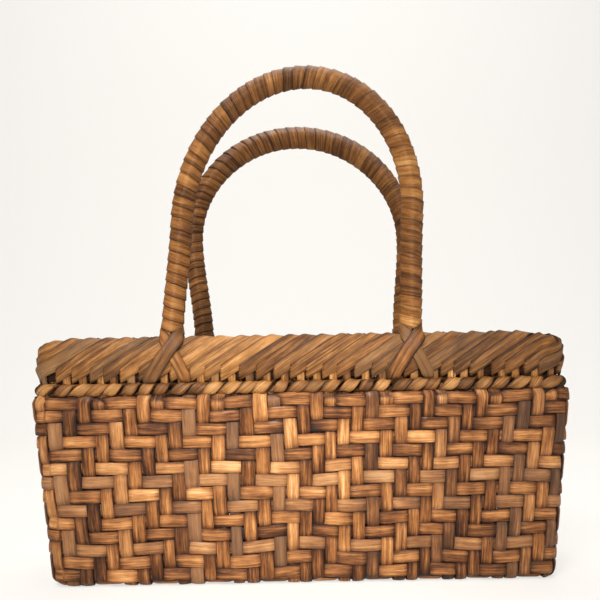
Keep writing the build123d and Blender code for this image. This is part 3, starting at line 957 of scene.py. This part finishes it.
def rim_strips():
    """Shingled strips: each folds out of the wall, climbs over the rim and comes down inside."""
    strips = Strips()
    angle, length, drift, outer = rim_course()
    out, height = rim_section(angle)
    ahead_out, ahead_height = rim_section(angle + 0.02)
    behind_out, behind_height = rim_section(angle - 0.02)
    out_step = (ahead_out - behind_out)[:, None]
    up_step = (ahead_height - behind_height)[:, None]
    place_at = even_places(neck_height, rim_strip_count)
    for strip in range(rim_strip_count):
        shift = np.clip(chance.normal(0, rim_shift_spread), -rim_shift_limit, rim_shift_limit)
        steep = np.clip(chance.normal(1, rim_slant_spread), 1 - rim_slant_limit, 1 + rim_slant_limit)
        number = strip + shift + drift * steep / rim_pitch
        number = np.where(outer, number, number + drift * (1 - steep) / rim_pitch)
        place = place_at(number)
        outward = level_out(place, neck_run)
        points = wall(place, neck_run) + outward * out[:, None]
        points[:, 2] = height
        normals = unit(outward * up_step - up * out_step)
        points = points + normals * chance.normal(0, rim_strip_unevenness)
        points = round_ends(points, outward)
        level_side = flow(points, normals)
        climb = unit(outward * out_step + up * up_step)
        turned = smooth(length / rim_upright_length)[:, None]
        side = unit(climb * (1 - turned) + level_side * turned)
        width = rim_strip_width * chance.uniform(*rim_strip_widths)
        half = width / 2 / np.sum(side * level_side, axis=1)
        fold, fold_normals = fold_out(points[0], outward[0])
        points = np.concatenate([fold, points])
        normals = np.concatenate([fold_normals, normals])
        side = np.concatenate([np.tile(up, (len(fold), 1)), side])
        half = np.concatenate([np.full(len(fold), half[0]), half])
        inside = smooth((np.degrees(angle) - rim_inside_start) / rim_inside_reach)
        tilt = -rim_strip_tilt * np.concatenate([rim_fold_tilt, 1 - rim_inside_flattening * inside])
        # Painted shade on the fold only
        shade = np.concatenate([rim_fold_shade, np.zeros(len(angle))])
        # Painted light: the tone falls from the left end of the rim to the right
        tone, greyness = strip_tone(rim_tone[0] - rim_painted_light_fall * points[0][0], rim_tone[1])
        strips.add(points, side, normals, half, rim_strip_thickness, crown=rim_strip_crown,
                   tilt=tilt, tone=tone, hue=greyness, shade=shade)
        add_tail(strips, float(place_at(strip + shift + tail_place)))
    strips.make("rim_strips", rim_bark, "rim_strip", "rim_wrapping")


twined_row()
rim_strips()
rim_hoop("outer_rim_vine", "outer_rim_hoop", 1)
rim_hoop("inner_rim_vine", "inner_rim_hoop", -1)


# Handles

class HandlePath:
    """Centreline of one handle in its own leaning plane, from the left foot to the right."""

    def __init__(self, sizes):
        self.side = sizes["side"]
        share = np.linspace(0, 1, 1201)
        leg = handle_leg_share
        climb = np.minimum(share, 1 - share) / leg
        ease = smooth(climb)
        x_leg = np.sign(share - 0.5) * (sizes["foot"] + (sizes["arch"] - sizes["foot"]) * ease)
        turn = math.pi * np.clip((share - leg) / (1 - 2 * leg), 0, 1)
        on_leg = climb < 1
        x = np.where(on_leg, x_leg, -sizes["arch"] * np.cos(turn))
        height = np.where(on_leg, sizes["leg"] * climb, sizes["leg"] + sizes["rise"] * np.sin(turn))
        x = x + sizes["centre"] + sizes["sway"] * height / (sizes["leg"] + sizes["rise"])
        self.x = x * mm
        self.height = height * mm
        self.lengths = np.concatenate([[0], np.cumsum(np.hypot(np.diff(self.x), np.diff(self.height)))])
        self.length = float(self.lengths[-1])

    def place(self, length):
        """Place across and height in the plane at a distance along the handle."""
        return np.interp(length, self.lengths, self.x), np.interp(length, self.lengths, self.height)

    def direction(self, length):
        """Direction along the handle in its plane."""
        x0, h0 = self.place(np.maximum(length - 2 * mm, 0))
        x1, h1 = self.place(np.minimum(length + 2 * mm, self.length))
        size = np.hypot(x1 - x0, h1 - h0)
        return (x1 - x0) / size, (h1 - h0) / size

    def point(self, length, across, out):
        """Point at a distance along the handle, beside the centreline and out of its plane."""
        x, height = self.place(length)
        dx, dh = self.direction(length)
        height = height - dx * across
        y = rim_middle_y + height * math.sin(handle_lean) + out * math.cos(handle_lean)
        z = crest + height * math.cos(handle_lean) - out * math.sin(handle_lean)
        return stack(x + dh * across, self.side * y, z)


def handle_radius(angle):
    """Distance to the rounded four-sided section of a wrapped handle."""
    across = np.abs(np.cos(angle) / (handle_width / 2)) ** handle_roundness
    out = np.abs(np.sin(angle) / (handle_depth / 2)) ** handle_roundness
    return (across + out) ** (-1 / handle_roundness)


def handle_strip(name, sizes, node):
    """The strip wound round a handle, each turn lapped over the one before."""
    strips = Strips()
    path = HandlePath(sizes)
    turns = round((path.length - 2 * handle_wrap_start) / handle_turn_pitch)
    steps = chance.uniform(*handle_turn_steps, turns)
    ends = np.concatenate([[0], np.cumsum(steps)]) / steps.sum() * (path.length - 2 * handle_wrap_start)
    number = np.arange(turns * handle_samples + 1) / handle_samples
    length = handle_wrap_start + np.interp(number, np.arange(turns + 1), ends)
    angle = 2 * math.pi * number + math.pi / 2

    def skin(at, turned):
        foot = np.minimum(at, path.length - at)
        growth = handle_foot_flare * (1 - smooth(foot / handle_flare_reach))
        up_share = (foot / path.length - handle_growth_start) / handle_growth_reach
        growth = growth + sizes["top_growth"] * smooth(up_share)
        radius = handle_radius(turned) * (1 + growth)
        return path.point(at, radius * np.cos(turned), radius * np.sin(turned))

    points = skin(length, angle)
    reach = 1.5 * mm
    across = (skin(length + reach, angle) - skin(length - reach, angle)) / (2 * reach)
    around = skin(length, angle + 0.03) - skin(length, angle - 0.03)
    normals = unit(np.cross(around, across))
    centre = path.point(length, 0.0, 0.0)
    normals = normals * np.sign(np.sum(normals * (points - centre), axis=1))[:, None]
    local_pitch = np.interp(number, np.arange(turns) + 0.5, np.diff(ends))
    width = local_pitch * handle_strip_share
    tone = strip_tone(sizes["tone"], handle_tone_spread)[0]
    turn_tones = chance.normal(0, handle_turn_tone_spread, turns + 1)
    by_turn = np.interp(number, np.arange(turns + 1), turn_tones)
    strips.add(points, across, normals, width / 2, handle_strip_thickness, crown=handle_strip_crown,
               tilt=handle_strip_tilt, tone=tone + by_turn, hue=handle_greyness)
    strips.make(name, handle_bark, "handle_strip", node)


handle_strip("front_handle_strip", front_handle, "front_handle_wrapping")
handle_strip("rear_handle_strip", rear_handle, "rear_handle_wrapping")
for node in ("front_handle_core", "rear_handle_core"):
    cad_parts[node].data.materials.clear()
    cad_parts[node].data.materials.append(core_wood)


# Lashings

def smooth_loop(points, samples):
    """Closed smooth curve through the points."""
    points = np.asarray(points, float)
    before = np.roll(points, 1, axis=0)
    after = np.roll(points, -1, axis=0)
    beyond = np.roll(points, -2, axis=0)
    share = (np.arange(samples) / samples)[None, :, None]
    a, b, c, d = (part[:, None, :] for part in (before, points, after, beyond))
    curve = 0.5 * (2 * b + (c - a) * share + (2 * a - 5 * b + 4 * c - d) * share ** 2
                   + (3 * b - a - 3 * c + d) * share ** 3)
    return curve.reshape(-1, points.shape[1])


# Half of a lashing's loop, from under the rim to the far side of the leg: across, out and height in
# mm, then the way each point faces, and the point where the loop turns back
over_half = np.array([
    (-13.0, 0.0, 125.2), (-13.3, 5.0, 125.0), (-12.8, 8.0, 127.2), (-8.8, 9.1, 133.6),
    (-3.4, 9.9, 141.6), (2.0, 9.4, 149.0), (5.2, 7.4, 153.4), (6.4, 4.2, 155.8)])
under_half = np.array([
    (-9.4, 0.0, 125.6), (-9.7, 4.6, 125.3), (-9.4, 7.6, 127.6), (-6.6, 8.8, 133.8),
    (-2.6, 8.8, 141.6), (1.6, 8.0, 149.0), (4.4, 6.2, 153.4), (6.0, 3.6, 155.8)])
lashing_facing = np.array([
    (0, 0, -1), (0, 0.6, -0.8), (0, 1, -0.25), (0, 1, 0), (0, 1, 0.05),
    (0, 0.97, 0.25), (0.35, 0.93, 0.1), (0.86, 0.5, 0)])
lashing_turn = (6.6, 0.0, 156.6)


def lashing(name, path, end, hand, width, half):
    """One strip looped round the rim and the foot of a handle, from the half of its loop."""
    foot_x = float(path.place(end)[0])
    inward = (1, -1, 1)
    points = np.concatenate([half, [lashing_turn], half[:0:-1] * inward])
    points[:, 1] += np.maximum(points[:, 2] - crest / mm, 0) * math.tan(handle_lean)
    normals = np.concatenate([lashing_facing, [(1, 0, 0)], lashing_facing[:0:-1] * inward])
    points[:, 0] *= hand
    normals[:, 0] *= hand
    curve = smooth_loop(points, lashing_samples) * mm
    normal = unit(smooth_loop(normals, lashing_samples))
    space = stack(foot_x + curve[:, 0], path.side * (rim_middle_y + curve[:, 1]), curve[:, 2])
    normal = stack(normal[:, 0], path.side * normal[:, 1], normal[:, 2])
    strips = Strips()
    tone, greyness = strip_tone(*lashing_tone)
    low = smooth((lashing_low_height - space[:, 2]) / lashing_taper_reach)
    high = smooth((space[:, 2] - lashing_high_height) / lashing_taper_reach)
    half_width = width / 2 * (1 - lashing_low_taper * low - lashing_high_taper * high)
    # Painted shade on the low part of the loop, under the rim
    strips.add(space, flow(space, normal, closed=True), normal, half_width, lashing_thickness,
               crown=lashing_crown, tone=tone, hue=greyness + lashing_greyness,
               shade=lashing_low_shade * low, closed=True)
    strips.make(f"{name}_strip", handle_bark, "handle_strip", f"{name}_lashing")


for end_name, sizes in (("front", front_handle), ("rear", rear_handle)):
    path = HandlePath(sizes)
    for foot, end in (("left", 0.0), ("right", path.length)):
        # seen from outside, the upper strip of each cross climbs to the right
        lashing(f"{end_name}_{foot}_over", path, end, -path.side, over_lashing_width, over_half)
        lashing(f"{end_name}_{foot}_under", path, end, path.side, under_lashing_width, under_half)


# Floor, light and camera

def brighter_when_seen(nodes, links, extra, level):
    """A level that rises by the extra where the camera looks straight at it."""
    rays = nodes.new("ShaderNodeLightPath")
    strength = nodes.new("ShaderNodeMath")
    strength.operation = "MULTIPLY_ADD"
    strength.inputs[1].default_value = extra
    strength.inputs[2].default_value = level
    links.new(rays.outputs["Is Camera Ray"], strength.inputs[0])
    return strength.outputs[0]


def backdrop():
    """Pale floor that curves up behind the bag."""
    depth_front = -1.6
    bend_start = 0.9
    bend_radius = 0.8
    wall_top = 2.6
    profile = [(depth_front, 0.0), (bend_start, 0.0)]
    for step in range(1, 17):
        angle = math.pi / 2 * step / 16
        profile.append((bend_start + bend_radius * math.sin(angle), bend_radius * (1 - math.cos(angle))))
    profile.append((bend_start + bend_radius, wall_top))
    half = 3.0
    points = [(x, y, z) for y, z in profile for x in (-half, half)]
    faces = [(2 * n, 2 * n + 1, 2 * n + 3, 2 * n + 2) for n in range(len(profile) - 1)]
    mesh = bpy.data.meshes.new("floor")
    mesh.from_pydata(points, [], faces)
    mesh.polygons.foreach_set("use_smooth", [True] * len(faces))
    floor = bpy.data.objects.new("floor", mesh)
    bpy.context.scene.collection.objects.link(floor)
    material, nodes, links, shader = new_material("floor")
    shader.inputs["Base Color"].default_value = (0.86, 0.84, 0.8, 1)
    shader.inputs["Roughness"].default_value = 0.9
    glow = nodes.new("ShaderNodeEmission")
    glow.inputs["Color"].default_value = (1.0, 0.985, 0.955, 1)
    glow.inputs["Strength"].default_value = 1
    mix = nodes.new("ShaderNodeMixShader")
    links.new(brighter_when_seen(nodes, links, floor_glow, 0), mix.inputs[0])
    links.new(shader.outputs[0], mix.inputs[1])
    links.new(glow.outputs[0], mix.inputs[2])
    links.new(mix.outputs[0], nodes["Material Output"].inputs["Surface"])
    mesh.materials.append(material)


def lamp(name, place, target, size, power, colour, angle=None):
    """Soft lamp pointed at a target: a square one, or with an angle one that throws a cone."""
    light = bpy.data.lights.new(name, "SPOT" if angle else "AREA")
    if angle:
        light.spot_size = math.radians(angle)
        light.spot_blend = 1.0
        light.shadow_soft_size = size
    else:
        light.shape = "SQUARE"
        light.size = size
    light.energy = power
    light.color = colour
    holder = bpy.data.objects.new(name, light)
    holder.location = place
    holder.rotation_euler = (Vector(target) - Vector(place)).to_track_quat("-Z", "Y").to_euler()
    bpy.context.scene.collection.objects.link(holder)


def world_light():
    """Even pale surroundings; what the camera sees of them is near white."""
    world = bpy.data.worlds.new("surroundings")
    bpy.context.scene.world = world
    world.use_nodes = True
    nodes = world.node_tree.nodes
    links = world.node_tree.links
    background = nodes["Background"]
    background.inputs["Color"].default_value = (1.0, 0.97, 0.93, 1)
    strength = brighter_when_seen(nodes, links, surroundings_seen, surroundings_light)
    links.new(strength, background.inputs["Strength"])


def front_camera():
    """Camera in front of the bag at about the height of its rim, tilted up and rolled a little."""
    data = bpy.data.cameras.new("camera")
    data.sensor_width = 36
    data.lens = camera_lens
    data.clip_start = 0.01
    camera = bpy.data.objects.new("camera", data)
    turn = Matrix.Rotation(math.pi / 2 + camera_tilt, 4, "X") @ Matrix.Rotation(camera_roll, 4, "Z")
    camera.matrix_world = Matrix.Translation(camera_place) @ turn
    bpy.context.scene.collection.objects.link(camera)
    bpy.context.scene.camera = camera


backdrop()
for lamp_name, settings in lamps.items():
    lamp(lamp_name, *settings)
world_light()
front_camera()
bpy.context.scene.view_settings.view_transform = "Standard"
